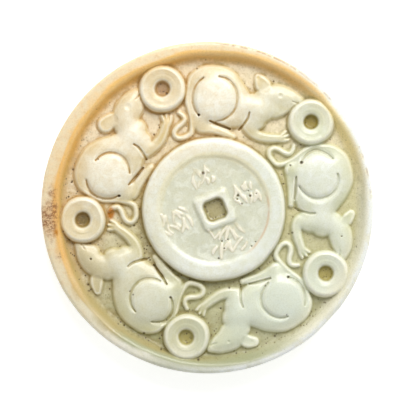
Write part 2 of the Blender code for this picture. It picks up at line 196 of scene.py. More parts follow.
# Stains of the old skin, as (x, y, half width, half height)
RUSSET_PATCHES = ((-47.4, -3.2, 2.6, 7.0), (-45.2, -14.6, 1.6, 1.6), (-46.6, 4.5, 1.5, 2.5))
ORANGE_SPOTS = ((-29.3, -2.0, 1.2, 2.0), (-45.6, -7.5, 1.0, 1.0))

# The raster of heights, and the steps in which a turned form's profile is read
CELL = 0.1
HALF = 51.0
AXIS = np.arange(-HALF, HALF + 0.5 * CELL, CELL)
X, Y = np.meshgrid(AXIS, AXIS)
PROFILE_REACH = 75.0
PROFILE_STEP = 0.05

# The mesh: the points along one side of the face's grid, the steps of each rounded edge and of the plain
# side, how far out the rim's wear begins, and the most triangles
GRID_POINTS = 620
EDGE_STEPS = 8
SIDE_STEPS = 8
WEAR_START = 44.0
MOST_TRIANGLES = 190000

# The floor, the light and the camera, in metres and watts, with the lens in mm. Each light is its name,
# place, size, power and colour.
FLOOR_HALF = 1.2
FLOOR_DROP = 0.00005
LIGHTS = (("key", (0.14, 0.40, 0.42), 0.42, 3.1, (1.0, 0.99, 0.965)),
          ("glint", (-0.05, 0.30, 0.52), 0.07, 0.35, (1.0, 1.0, 1.0)))
SKY_COLOUR = (0.99, 1.0, 1.0, 1.0)
SKY_STRENGTH = 0.48
SENSOR_WIDTH = 36.0
LENS = 144.0
CAMERA_PLACE = (0.00021, -0.00015, 0.5112)


def placed(name, data):
    """A new object of this name and data, in the scene."""
    obj = bpy.data.objects.new(name, data)
    bpy.context.scene.collection.objects.link(obj)
    return obj


def spline_weights(positions, count):
    """How much each value of a row counts at each position, for a cubic B-spline through it."""
    weights = np.zeros((len(positions), count))
    base = np.floor(positions).astype(int)
    t = positions - base
    shares = ((1 - t) ** 3 / 6, (3 * t ** 3 - 6 * t ** 2 + 4) / 6,
              (-3 * t ** 3 + 3 * t ** 2 + 3 * t + 1) / 6, t ** 3 / 6)
    rows = np.arange(len(positions))
    for k, share in enumerate(shares):
        weights[rows, base + k] += share
    return weights


def noise(size, seed):
    """Smooth noise over the raster, about -1 to 1, with swellings about this many mm across."""
    count = int(2 * HALF / size) + 5
    values = np.random.default_rng(seed).uniform(-1.0, 1.0, (count, count))
    weights = spline_weights((AXIS + HALF) / size, count)
    return 1.7 * (weights @ values @ weights.T)


def blurred(field, size):
    """The field smoothed by a Gaussian of this many mm."""
    pad = int(4 * size / CELL) + 2
    wide = np.pad(field, pad, mode="edge")
    rows = np.fft.fftfreq(wide.shape[0], CELL)[:, None]
    columns = np.fft.rfftfreq(wide.shape[1], CELL)[None, :]
    response = np.exp(-2 * (math.pi * size) ** 2 * (rows ** 2 + columns ** 2))
    smooth = np.fft.irfft2(np.fft.rfft2(wide) * response, s=wide.shape)
    return smooth[pad:-pad, pad:-pad]


def smoothstep(value, low, high):
    t = np.clip((value - low) / (high - low), 0.0, 1.0)
    return t * t * (3 - 2 * t)


def smooth_max(a, b, size):
    """The higher of the two, with a fillet of this size in mm where they meet."""
    near = np.maximum(size - np.abs(a - b), 0.0) / size
    return np.maximum(a, b) + near * near * size * 0.25


# Hand carving is never quite true, so every form is read a little off its drawn place
XW = X + 0.24 * noise(6.5, 11) + 0.06 * noise(2.2, 12)
YW = Y + 0.24 * noise(6.5, 13) + 0.06 * noise(2.2, 14)


def window(points, reach):
    """The part of the raster within reach of the points."""
    low = np.min(points, axis=0)[:2] - reach + HALF
    high = np.max(points, axis=0)[:2] + reach + HALF
    x0, y0 = np.maximum((low / CELL).astype(int), 0)
    x1, y1 = np.minimum((high / CELL).astype(int) + 2, len(AXIS))
    return slice(y0, y1), slice(x0, x1)


def on_compass(bearing, distance, centre=CARVING_CENTRE):
    angle = math.radians(bearing)
    return (centre[0] + distance * math.sin(angle), centre[1] + distance * math.cos(angle))


def posed(rat, route, breadth=1.0):
    """The route on this rat, as (x, y, half width)."""
    points = []
    for ahead, distance, half in route:
        turn = ahead * rat.reach if ahead > 0 else ahead
        points.append((*on_compass(rat.bearing + turn, distance), half * breadth))
    return points


def smooth_route(points, rings=8):
    """More points, read from a smooth curve through the points."""
    knots = np.array(points, dtype=float)
    if len(knots) < 3:
        return knots
    ends = np.vstack([2 * knots[0] - knots[1], knots, 2 * knots[-1] - knots[-2]])
    made = []
    for a, b, c, d in zip(ends, ends[1:], ends[2:], ends[3:]):
        for step in range(rings):
            t = step / rings
            made.append(0.5 * (2 * b + (c - a) * t + (2 * a - 5 * b + 4 * c - d) * t ** 2
                               + (3 * b - a - 3 * c + d) * t ** 3))
    made.append(knots[-1])
    return np.array(made)


def swept(points, section, reach):
    """The highest value of section(distance, half width) over the route, and the window that it covers."""
    box = window(points, reach)
    x, y = XW[box], YW[box]
    best = np.full(x.shape, -np.inf)
    for (x0, y0, r0), (x1, y1, r1) in zip(points, points[1:]):
        dx, dy = x1 - x0, y1 - y0
        t = np.clip(((x - x0) * dx + (y - y0) * dy) / (dx * dx + dy * dy + 1e-9), 0.0, 1.0)
        distance = np.hypot(x - x0 - t * dx, y - y0 - t * dy)
        best = np.maximum(best, section(distance, r0 + t * (r1 - r0)))
    return box, best


def swelling(distance, half, share=1.0, most=math.inf):
    """A rounded body: a wider one stands higher, up to the most, and it falls away steeply outside."""
    inner = np.clip(distance / half, 0.0, 1.0)
    crown = np.minimum(share * FULL_RISE * (half / HAUNCH_RADIUS) ** RISE_POWER, most)
    inside = GROUND + crown * (1 - inner * inner) ** SECTION_POWER
    return np.where(distance < half, inside, GROUND - BODY_SLOPE * (distance - half))


def haunch_swelling(distance, half):
    """The haunch stands a little above the hip and runs into it."""
    inner = distance / half
    inside = GROUND + FULL_RISE - HAUNCH_FALL * inner ** HAUNCH_POWER
    outside = GROUND + FULL_RISE - HAUNCH_FALL - HAUNCH_SLOPE * (distance - half)
    return np.where(inner < 1, inside, outside)


def groove_section(distance, half):
    """A rounded cut: 1 along its middle, 0 at its edges."""
    return np.clip(1 - (distance / half) ** 2, 0.0, 1.0)


def cut(relief, points, depth):
    points = np.array(points, dtype=float)
    box, share = swept(points, groove_section, points[:, 2].max() + 1.0)
    relief[box] -= depth * np.maximum(share, 0.0)


def away_from(centre):
    """How far each point of the raster lies from the centre."""
    return np.hypot(XW - centre[0], YW - centre[1])


def turned(centre, profile, ease):
    """Heights of a turned form: the profile is (radius, height) from its middle outwards, corners eased."""
    radii = np.arange(0.0, PROFILE_REACH, PROFILE_STEP)
    heights = np.interp(radii, *zip(*profile))
    count = int(3 * ease / PROFILE_STEP) + 1
    bell = np.exp(-0.5 * (np.arange(-count, count + 1) * PROFILE_STEP / ease) ** 2)
    eased = np.convolve(np.pad(heights, count, mode="edge"), bell / bell.sum(), mode="valid")
    return np.interp(away_from(centre), radii, eased)


def square_distance(side, rounding):
    """How far outside the turned square each point is, in mm, negative inside it."""
    angle = math.radians(SQUARE_TURN)
    x, y = XW - SQUARE_CENTRE[0], YW - SQUARE_CENTRE[1]
    u = x * math.cos(angle) + y * math.sin(angle)
    v = -x * math.sin(angle) + y * math.cos(angle)
    corner = rounding * side
    a = np.abs(u) - 0.5 * side + corner
    b = np.abs(v) - 0.5 * side + corner
    return np.hypot(np.maximum(a, 0), np.maximum(b, 0)) + np.minimum(np.maximum(a, b), 0) - corner


def pit(relief, pits, x, y, radius, depth):
    """A small pit in the stone, also marked for the dirt that sits in it."""
    box = window(np.array([(x, y)]), radius + 0.3)
    share = smoothstep(1.15 - np.hypot(X[box] - x, Y[box] - y) / radius, 0.0, 1.0)
    relief[box] -= depth * share
    pits[box] = np.maximum(pits[box], share)


def arc(centre, outward, start, stop, radii, half):
    """Points round a centre, by angles in degrees clockwise from the outward bearing, with tapered ends."""
    steps = len(radii) * 2 + 2
    knots = []
    for i in range(steps + 1):
        share = i / steps
        radius = np.interp(share * (len(radii) - 1), range(len(radii)), radii)
        taper = 0.4 + 0.6 * math.sin(math.pi * share) ** 0.5
        place = on_compass(outward + start + (stop - start) * share, radius, centre)
        knots.append((*place, half * taper))
    return smooth_route(knots, 4)


def haunch_centre(rat):
    return on_compass(rat.bearing + rat.haunch_shift, HAUNCH_DISTANCE + rat.haunch_out)


def body_routes(rat):
    """Each swelling of the rat, from below to above, with its section and its fillet towards the rest."""
    back = [(ahead, distance - rat.neck_in * math.exp(-((ahead - NECK_AHEAD) / NECK_SPREAD) ** 2), half)
            for ahead, distance, half in BACK]
    foreleg = [(ahead + rat.elbow * share, distance, half)
               for (ahead, distance, half), share in zip(FORELEG, ELBOW_SHARES)]
    hind_leg = [(ahead, distance + rat.foot_out * (distance < FOOT_DISTANCE), half)
                for ahead, distance, half in HIND_LEG]
    haunch = ((rat.haunch_shift, HAUNCH_DISTANCE + rat.haunch_out, HAUNCH_RADIUS),) * 2
    fingers = [(finger, swelling, 0.25) for finger in FINGERS]
    hip, thigh = partial(swelling, most=HIP_RISE), partial(swelling, most=THIGH_RISE)
    foot = partial(swelling, share=FOOT_SHARE)
    return [
        (TAIL, swelling, 0.4), (back, swelling, 0.6), ((HIP, HIP), hip, 1.0),
        (BELLY, swelling, 0.9), (FLANK, swelling, 1.4), (HEAD, swelling, 0.8), (rat.jaw, swelling, 0.8),
        (rat.ear, swelling, 0.4), (foreleg, swelling, 1.0), *fingers, (hind_leg, foot, 0.6),
        (haunch, haunch_swelling, 1.1), (THIGH, thigh, 1.2)]


def with_rats(ground):
    """The ground with the rats laid over it."""
    relief = ground + 0.0
    for rat in RATS:
        for route, section, fillet in body_routes(rat):
            points = smooth_route(posed(rat, route))
            box, heights = swept(points, section, points[:, 2].max() + 1.5)
            relief[box] = smooth_max(relief[box], heights, fillet)

    # The parts of each body run into one another, while its outline stays crisp
    bodies = smoothstep(relief - ground, 0.15, 0.9)
    within = smoothstep(blurred(bodies, 0.9), 0.82, 0.99)
    relief += within * (blurred(relief, 0.85) - relief)
    return relief


def small_coin(centre):
    """Heights of a small coin, with faint turning marks, and masks of its face and its drilled hole."""
    away = away_from(centre)
    hole, edge = SMALL_COIN_HOLE_RADIUS, SMALL_COIN_RADIUS
    top = GROUND + SMALL_COIN_RISE
    dish = top - SMALL_COIN_DISH_DEPTH
    heights = turned(centre, (
        (0.0, GROUND + 0.3), (hole - 0.3, GROUND + 0.4), (hole, dish - 0.6), (hole + 0.5, dish - 0.1),
        (hole + 1.5, dish + 0.15), (SMALL_COIN_DISH_RADIUS - 0.4, dish + 0.2),
        (SMALL_COIN_DISH_RADIUS + 0.5, top - 0.05), (edge - 1.2, top), (edge - 0.4, top - 0.5),
        (edge, top - 1.5), (edge + 0.3, GROUND - 0.7), (edge + 1.0, GROUND - 2.5)), COIN_EASE)
    marks = smoothstep(away, hole + 0.6, hole + 1.4) * (1 - smoothstep(away, edge - 2.0, edge - 1.0))
    heights += 0.05 * marks * np.cos(2 * math.pi * away / 0.95) * smoothstep(noise(4.0, 28), -0.7, 0.5)
    face = 1 - smoothstep(away, edge - 0.3, edge + 0.4)
    return heights, face, 1 - smoothstep(away, hole - 0.35, hole + 0.25)


def large_coin():
    """Heights of the large coin: a flat ring, a sunk field and the raised border of the square."""
    field = THICKNESS - FIELD_DEPTH
    coin = turned(COIN_CENTRE, (
        (0.0, field), (FIELD_RADIUS - 2.6, field + 0.2), (FIELD_RADIUS - 0.3, field + 0.5),
        (FIELD_RADIUS + 0.3, THICKNESS - 0.2), (FIELD_RADIUS + 1.6, THICKNESS),
        (COIN_RADIUS - 1.9, THICKNESS), (COIN_RADIUS - 0.8, THICKNESS - 0.25),
        (COIN_RADIUS - 0.1, THICKNESS - 1.0), (COIN_RADIUS + 0.35, GROUND - 0.7),
        (COIN_RADIUS + 1.5, GROUND - 3.0)), COIN_EASE)
    border = np.interp(square_distance(SQUARE_SIDE, SQUARE_ROUNDING), (-0.7, 0.1, 0.6, 1.2, 2.0),
                       (SQUARE_TOP, SQUARE_TOP - 0.25, field + 0.1, field - 0.3, field - 2.0))
    return np.where(away_from(COIN_CENTRE) < FIELD_RADIUS, smooth_max(coin, border, COIN_FILLET), coin)


def lit_tops_mask(relief, raised, coins):
    """Painted light: paler tops well inside the forms' outlines, and painted highlight along their ridges."""
    inward = (0.6 * smoothstep(blurred(raised, 0.8), 0.45, 0.98)
              + 0.4 * smoothstep(blurred(raised, 2.2), 0.45, 1.02))
    domes = 1 - smoothstep(away_from(COIN_CENTRE), COIN_RADIUS - 0.5, COIN_RADIUS + 0.5)
    for rat in RATS:
        domes = np.maximum(domes, 1 - smoothstep(away_from(haunch_centre(rat)), 4.0, 9.0))
        chest = on_compass(rat.bearing + CHEST_AHEAD, CHEST_DISTANCE)
        domes = np.maximum(domes, 0.5 - 0.5 * smoothstep(away_from(chest), 2.5, 7.5))
    inward *= (0.79 + 0.21 * domes) * (1 - 0.12 * coins)
    border = 1 - smoothstep(square_distance(SQUARE_SIDE, SQUARE_ROUNDING), -0.1, 0.9)
    # Painted highlight: convex ridges count as tops too
    ridges = raised * smoothstep(relief - blurred(relief, 1.3), 0.15, 0.9) * (1 - 0.5 * coins)
    return np.maximum(np.maximum(inward, border), ridges)


def carve():
    """The whole upper face as heights in mm, with the masks that its colours are painted by."""
    ground = turned(RECESS_CENTRE, (
        (0.0, GROUND), (RECESS_FOOT_RADIUS - 0.5, GROUND), (RECESS_FOOT_RADIUS + 0.6, GROUND + 0.9),
        (RECESS_TOP_RADIUS - 0.3, THICKNESS - 0.5), (RECESS_TOP_RADIUS + 0.6, THICKNESS)), RIM_EASE)
    relief = with_rats(ground)
    holes = np.zeros_like(relief)
    coins = np.zeros_like(relief)
    for bearing in SMALL_COIN_BEARINGS:
        heights, face, drilled = small_coin(on_compass(bearing, SMALL_COIN_DISTANCE))
        relief = smooth_max(relief, heights, COIN_FILLET)
        coins = np.maximum(coins, face)
        holes = np.maximum(holes, drilled)
    relief = smooth_max(relief, large_coin(), COIN_FILLET)
    outside = square_distance(SQUARE_HOLE_SIDE, SQUARE_HOLE_ROUNDING)
    foot = SQUARE_TOP - SQUARE_HOLE_DEPTH
    square = np.interp(outside, (-1.0, -0.05, 0.4, 0.9, 1.6),
                       (foot, foot + 0.4, SQUARE_TOP - 0.4, THICKNESS, THICKNESS + 3.0))
    relief = blurred(-smooth_max(-relief, -square, SQUARE_HOLE_FILLET), 0.17)
    holes = np.maximum(holes, 0.6 * (1 - smoothstep(outside, -0.3, 0.35)))

    raised = smoothstep(relief - ground, 0.15, 0.9)
    pits = np.zeros_like(relief)
    strokes = np.zeros_like(relief)
    engrave(relief, pits)
    write_strokes(relief, strokes)

    # Uneven polish on what stands up, tool marks and grit on what lies low
    relief += 0.07 * noise(4.5, 21) + 0.035 * noise(1.8, 22) + 0.012 * noise(0.8, 27)
    low = (1 - raised) * (1 - smoothstep(ground, GROUND + 0.8, GROUND + 2.6))
    relief += low * (0.10 * noise(1.3, 23) + 0.07 * noise(0.6, 24))
    scatter_pits(relief, pits, low)
    relief = np.minimum(relief, THICKNESS - 0.05 * smoothstep(noise(5.0, 25), -0.6, 1.0))

    away = away_from(RECESS_CENTRE) + 0.4 * noise(5.5, 26)
    wall = smoothstep(away, 43.2, 45.6) * (1 - smoothstep(away, 47.3, 48.1)) * (1 - raised)
    return {"relief": relief, "low": low, "wall": wall, "crown": lit_tops_mask(relief, raised, coins),
            "holes": holes, "strokes": strokes, "pits": pits, "russet": patch_mask(RUSSET_PATCHES),
            "orange": patch_mask(ORANGE_SPOTS), "tan": field_edge_stain()}


def patch_mask(patches):
    """A mask of soft-edged patches, each given as (x, y, half width, half height)."""
    mask = np.zeros_like(X)
    ragged = 0.35 * noise(2.6, 61) + 0.25 * noise(1.1, 62)
    for x, y, half_width, half_height in patches:
        away = np.hypot((X - x) / half_width, (Y - y) / half_height) + ragged
        mask = np.maximum(mask, 1 - smoothstep(away, 0.45, 1.15))
    return mask


def field_edge_stain():
    """The tan line that follows the right side of the coin's field."""
    x, y = XW - COIN_CENTRE[0], YW - COIN_CENTRE[1]
    bearing = np.degrees(np.arctan2(x, y)) % 360
    near = 1 - smoothstep(np.abs(np.hypot(x, y) - FIELD_RADIUS - 0.1), 0.1, 0.55)
    reach = smoothstep(bearing, 62, 85) * (1 - smoothstep(bearing, 128, 150))
    return near * reach * smoothstep(noise(2.4, 63), -0.9, 0.1)


def engrave(relief, pits):
    """Cut lines: round the haunches, between chest and belly, along the feet, at mouths, eyes and ears."""
    for rat in RATS:
        centre, outward = haunch_centre(rat), rat.bearing + rat.haunch_shift
        for start, stop, radii in (rat.left_cut, rat.right_cut):
            for half, depth in HAUNCH_CUTS:
                cut(relief, arc(centre, outward, start, stop, radii, half), depth)
        x, y = arc(centre, outward, *rat.left_cut, 0.5)[-1][:2]
        pit(relief, pits, x, y, 0.5, 0.4)
        leg = [(ahead, distance + min(rat.foot_out, 0.0), half) for ahead, distance, half in LEG_LINE]
        for line, depth in ((leg, LEG_DEPTH), (CHEST_LINE, CHEST_DEPTH), (MOUTH_LINE, MOUTH_DEPTH)):
            cut(relief, smooth_route(posed(rat, line)), depth)
        ahead, distance, hollow, socket = rat.eye
        eye = posed(rat, ((ahead, distance, hollow),))[0]
        cut(relief, [eye, (eye[0] + 0.01, eye[1], hollow)], EYE_DEPTH)
        if socket:
            pit(relief, pits, eye[0], eye[1], socket, EYE_DEPTH)
        ear = smooth_route(posed(rat, rat.ear, EAR_SHARE))
        cut(relief, ear[len(ear) // 3:], EAR_DEPTH)


def write_strokes(relief, strokes):
    """Rows of worn shallow strokes on the coin's field, which aren't letters."""
    random = np.random.default_rng(57)
    for x, y, turn, length in STROKE_GROUPS:
        angle = math.radians(turn)
        along = np.array((math.cos(angle), math.sin(angle)))
        across = np.array((-along[1], along[0]))
        for row in (-1, 1):
            place = -2.6 * length
            while place < 2.5 * length:
                off = 1.25 * length * row + random.uniform(-0.7, 0.7)
                middle = np.array((x, y)) + across * off + along * place
                lean = math.radians(random.uniform(-42, 50))
                reach = length * random.uniform(0.5, 1.35)
                reach = reach * (across * math.cos(lean) + along * math.sin(lean))
                bend = 0.6 * random.uniform(-1, 1) * along
                width = random.uniform(0.4, 0.7)
                knots = [(*(middle - reach), 0.3), (*(middle + bend), width), (*(middle + reach), 0.35)]
                box, share = swept(smooth_route(knots, 4), groove_section, 1.5)
                strokes[box] = np.maximum(strokes[box], share)
                place += random.uniform(0.9, 2.1)
    worn = np.clip(blurred(strokes, 0.2) * (1.2 + 0.7 * noise(1.6, 52)), 0, 1)
    relief += STROKE_RISE * worn
    strokes[:] = worn


def scatter_pits(relief, pits, low):
    """The large dark pits, and small ones: beside the square, in the drilled holes, most in creases."""
    random = np.random.default_rng(41)
    for x, y, radius in DARK_PITS:
        pit(relief, pits, x, y, radius, DARK_PIT_DEPTH)
    angle = math.radians(SQUARE_TURN)
    for step in range(SQUARE_PITS):
        u, v = random.uniform(-2.4, 2.4), 2.35 * (1 if step % 2 else -1) + random.uniform(-0.15, 0.15)
        if step % 4 > 1:
            u, v = v, u
        x = SQUARE_CENTRE[0] + u * math.cos(angle) - v * math.sin(angle)
        y = SQUARE_CENTRE[1] + u * math.sin(angle) + v * math.cos(angle)
        pit(relief, pits, x, y, random.uniform(0.16, 0.34), 0.08)
    for bearing in SMALL_COIN_BEARINGS:
        x, y = on_compass(bearing, SMALL_COIN_DISTANCE)
        for turn in random.uniform(0.0, 2 * math.pi, HOLE_PITS):
            reach = random.uniform(0.8, 1.8)
            place = (x + reach * math.cos(turn), y + reach * math.sin(turn))
            pit(relief, pits, *place, random.uniform(0.14, 0.28), 0.08)
    creases = smoothstep(blurred(relief, 0.9) - relief, 0.15, 0.5) * np.maximum(low, 0.25)
    made = 0
    while made < SCATTERED_PITS:
        x, y = random.uniform(-46.0, 46.0, 2)
        spot = (int((y + HALF) / CELL), int((x + HALF) / CELL))
        chance = 0.01 + 0.25 * low[spot] + 0.74 * creases[spot]
        if math.hypot(x, y) > 47.5 or random.uniform() > chance:
            continue
        pit(relief, pits, x, y, 0.18 + 0.3 * random.uniform() ** 2, random.uniform(0.1, 0.3))
        made += 1


def sampled(field, x, y):
    """The field read between its raster's points."""
    column = np.clip((x + HALF) / CELL, 0, len(AXIS) - 1.001)
    row = np.clip((y + HALF) / CELL, 0, len(AXIS) - 1.001)
    i, j = row.astype(int), column.astype(int)
    s, t = row - i, column - j
    return ((1 - s) * ((1 - t) * field[i, j] + t * field[i, j + 1])
            + s * ((1 - t) * field[i + 1, j] + t * field[i + 1, j + 1]))


def disc_grid(count):
    """A square grid of points drawn into a circle of radius 1, as arrays of x and y."""
    line = np.linspace(-1.0, 1.0, count)
    a, b = np.meshgrid(line, line)
    wide = np.abs(a) > np.abs(b)
    with np.errstate(divide="ignore", invalid="ignore"):
        turn = np.where(wide, (math.pi / 4) * b / a, math.pi / 2 - (math.pi / 4) * a / b)
    turn = np.nan_to_num(turn)
    radius = np.where(wide, a, b)
    return radius * np.cos(turn), radius * np.sin(turn)


def once_round(index):
    """The grid's outer points, once round."""
    return np.concatenate([index[0, :-1], index[:-1, -1], index[-1, :0:-1], index[:0:-1, 0]])


def mesh_from_arrays(points, faces):
    """A mesh from an array of points and lists of equal-sided faces."""
    mesh = bpy.data.meshes.new("jade_roundel_fine")
    sizes = np.concatenate([np.full(len(block), block.shape[1]) for block in faces])
    corners = np.concatenate([block.ravel() for block in faces])
    mesh.vertices.add(len(points))
    mesh.vertices.foreach_set("co", points.astype(np.float32).ravel())
    mesh.loops.add(len(corners))
    mesh.loops.foreach_set("vertex_index", corners.astype(np.int32))
    mesh.polygons.add(len(sizes))
    mesh.polygons.foreach_set("loop_start", np.concatenate([[0], np.cumsum(sizes)[:-1]]).astype(np.int32))
    mesh.update(calc_edges=True)
    mesh.validate()
    return mesh


def roundel_mesh(relief, wear):
    """The closed stone: the carved face, the rounded edges, the side and the flat back."""
    inner = DISC_RADIUS - EDGE_ROUND
    x, y = disc_grid(GRID_POINTS)
    x, y = (x * inner).ravel(), (y * inner).ravel()
    worn_top = sampled(wear, x, y) * smoothstep(np.hypot(x, y), WEAR_START, inner)
    points = [np.column_stack([x, y, np.minimum(sampled(relief, x, y), THICKNESS - worn_top)])]
    index = np.arange(GRID_POINTS * GRID_POINTS).reshape(GRID_POINTS, GRID_POINTS)
    faces = [np.column_stack([index[:-1, :-1].ravel(), index[:-1, 1:].ravel(),
                              index[1:, 1:].ravel(), index[1:, :-1].ravel()])]

    # Rings down the side, as (angle round the edge, height of its middle, share of the wear)
    border = once_round(index)
    across = np.column_stack([x[border], y[border]]) / inner
    steps = range(1, EDGE_STEPS + 1)
    side = np.linspace(THICKNESS - EDGE_ROUND, EDGE_ROUND, SIDE_STEPS + 1)[1:]
    rings = [(90 - 90 * i / EDGE_STEPS, THICKNESS - EDGE_ROUND, 1.0) for i in steps]
    rings += [(0.0, z, 1.0) for z in side]
    rings += [(-90 * i / EDGE_STEPS, EDGE_ROUND, 1.0 - i / EDGE_STEPS) for i in steps]
    last = border
    total = len(x)
    for angle, centre_height, share in rings:
        out, up = math.cos(math.radians(angle)), math.sin(math.radians(angle))
        places = across * (inner + EDGE_ROUND * out)
        height = centre_height + EDGE_ROUND * up

        # The wear is read aslant, so that no mark runs straight down the side
        drop = height - THICKNESS
        depth = share * sampled(wear, places[:, 0] + 0.8 * drop, places[:, 1] - 0.6 * drop)
        points.append(np.column_stack([places - across * (depth * out)[:, None], height - depth * up]))
        fresh = total + np.arange(len(border))
        total += len(border)
        faces.append(np.column_stack([last, np.roll(last, -1), np.roll(fresh, -1), fresh])[:, ::-1])
        last = fresh
    points.append(np.array([[0.0, 0.0, 0.0]]))
    faces.append(np.column_stack([last, np.roll(last, -1), np.full(len(border), total)])[:, ::-1])
    return mesh_from_arrays(np.vstack(points) * MM, faces)


def thinned(mesh, most):
    """The mesh with its faces merged where it is nearly flat, down to this many triangles."""
    obj = placed("thinning", mesh)
    triangles = sum(len(polygon.vertices) - 2 for polygon in mesh.polygons)
    modifier = obj.modifiers.new("Thin", "DECIMATE")
    modifier.ratio = min(1.0, most / triangles)
    bpy.context.view_layer.update()
    made = bpy.data.meshes.new_from_object(obj.evaluated_get(bpy.context.evaluated_depsgraph_get()))
    bpy.data.objects.remove(obj)
    made.name = "jade_roundel_fine"
    return made


def paint(mesh, name, channels):
    """A colour attribute whose channels are read from the fields at each point."""
    count = len(mesh.vertices)
    place = np.zeros(count * 3, dtype=np.float32)
    mesh.vertices.foreach_get("co", place)
    place = place.reshape(count, 3) / MM
    values = np.ones((count, 4), dtype=np.float32)
    for k, field in enumerate(channels):
        values[:, k] = sampled(field, place[:, 0], place[:, 1])
    attribute = mesh.color_attributes.new(name, "FLOAT_COLOR", "POINT")
    attribute.data.foreach_set("color", values.ravel())


# The stone's colours as they show on a screen, 0 to 255
# Several of them are painted light and shade, some mixed with dirt: the tops and sides of the forms, the
# field's edge, the deep ground, the line and cut tones, the hollows, the upper golden wall, and the pale
# edges and chips.
TONES = {
    "top": (230, 233, 224), "top low": (218, 224, 210), "top lowest": (200, 206, 184),
    "top left": (222, 221, 203), "top warm": (244, 240, 225), "ring low": (238, 240, 233),
    "side": (201, 196, 148), "side calm": (201, 203, 162), "side calm low": (221, 224, 201),
    "side warm": (214, 187, 126), "skin": (206, 194, 156),
    "field": (212, 213, 191), "field low": (196, 198, 178), "field vein": (226, 227, 210),
    "field edge": (234, 226, 184), "stroke foot": (206, 192, 152), "stroke top": (240, 235, 218),
    "ground": (206, 200, 158), "ground low": (188, 186, 148), "ground warm": (232, 220, 197),
    "deep ground": (200, 188, 142), "deep ground low": (158, 156, 112), "deep ground warm": (223, 207, 175),
    "ground top": (238, 224, 196),
    "rim": (227, 224, 202), "rim low": (239, 236, 223), "rim bottom": (206, 207, 190),
    "rim warm": (236, 220, 188), "rim patch": (222, 182, 122), "chips and reflection": (238, 241, 240),
    "wall": (232, 218, 168), "wall calm": (228, 225, 202), "wall calm top": (248, 228, 162),
    "wall dull": (165, 168, 130), "wall golden": (228, 177, 88), "wall golden top": (246, 202, 122),
    "wall corner": (180, 162, 104), "flank": (186, 190, 152), "flank warm": (208, 184, 134),
    "hollow": (144, 124, 24), "hollow low": (176, 164, 94), "hollow warm": (100, 78, 30),
    "hollow warm top": (172, 138, 100),
    "line": (160, 156, 100), "line low": (174, 170, 122), "line warm": (190, 150, 84),
    "moss": (150, 138, 84), "moss warm": (203, 176, 132),
    "cut": (136, 112, 56), "cut low": (148, 132, 78), "cut warm": (166, 126, 58),
    "worn edge and highlight": (246, 243, 230), "tan line": (214, 176, 130), "hairline": (150, 108, 60),
    "dot": (98, 80, 44), "pit": (78, 60, 38), "grain": (196, 190, 160),
    "russet": (206, 160, 104), "crust": (138, 82, 38), "orange": (184, 118, 0),
}

# The middle of the darker skin at the lower left
DARK_SKIN = (-41.0, -20.0, 11.0)


def tone(name):
    """The named colour as the shader takes it."""
    values = []
    for value in TONES[name]:
        share = value / 255
        values.append(share / 12.92 if share <= 0.04045 else ((share + 0.055) / 1.055) ** 2.4)
    return (*values, 1.0)


class Nodes:
    """Short ways to add shader nodes to one material. It also keeps what the colours depend on."""

    def __init__(self, material):
        material.use_nodes = True
        self.tree = material.node_tree
        self.tree.nodes.clear()

    def add(self, kind, inputs=None, **settings):
        node = self.tree.nodes.new(kind)
        for key, value in settings.items():
            setattr(node, key, value)
        for key, value in (inputs or {}).items():
            if isinstance(value, bpy.types.NodeSocket):
                self.tree.links.new(value, node.inputs[key])
            else:
                node.inputs[key].default_value = value
        return node

    def math(self, operation, *values):
        return self.add("ShaderNodeMath", dict(enumerate(values)), operation=operation).outputs[0]

    def times(self, *values):
        return reduce(lambda a, b: self.math("MULTIPLY", a, b), values)

    def plus(self, *values):
        return reduce(lambda a, b: self.math("ADD", a, b), values)

    def minus(self, value, *taken):
        """The value less the product of the others."""
        return self.math("SUBTRACT", value, self.times(*taken))

    def distance(self, middle):
        inputs = {0: self.mm, 1: middle}
        return self.add("ShaderNodeVectorMath", inputs, operation="DISTANCE").outputs["Value"]

    def noise(self, scale, detail, roughness=0.5, distortion=0.0):
        return self.add("ShaderNodeTexNoise", {
            "Vector": self.mm, "Scale": scale, "Detail": detail, "Roughness": roughness,
            "Distortion": distortion}).outputs["Fac"]

    def channels(self, name):
        colour = self.add("ShaderNodeAttribute", attribute_name=name).outputs["Color"]
        return self.add("ShaderNodeSeparateColor", {0: colour}).outputs

    def ramp(self, value, low, high, to_low=0.0, to_high=1.0):
        """The value's range from low to high drawn out smoothly from to_low to to_high."""
        inputs = {"Value": value, "From Min": low, "From Max": high, "To Min": to_low, "To Max": to_high}
        return self.add("ShaderNodeMapRange", inputs, interpolation_type="SMOOTHSTEP").outputs["Result"]

    def mix(self, share, a, b, blend="MIX"):
        """Two colours mixed, each the name of a tone or a socket."""
        a, b = (tone(value) if isinstance(value, str) else value for value in (a, b))
        return self.add("ShaderNodeMix", {0: share, 6: a, 7: b}, data_type="RGBA", blend_type=blend,
                        clamp_factor=True).outputs[2]

    def lay(self, body, over, *shares):
        """The second colour laid over the first by the product of these shares."""
        return self.mix(self.times(*shares), body, over)

    def slant(self, x_share, y_share):
        """How far along a slanting direction of the face each point lies."""
        return self.plus(self.times(self.x, x_share), self.times(self.y, y_share))

    def shades(self, name):
        """A tone that differs low on the face and where the stone is warm."""
        return self.mix(self.warmth, self.mix(self.lower, name, name + " low"), name + " warm")


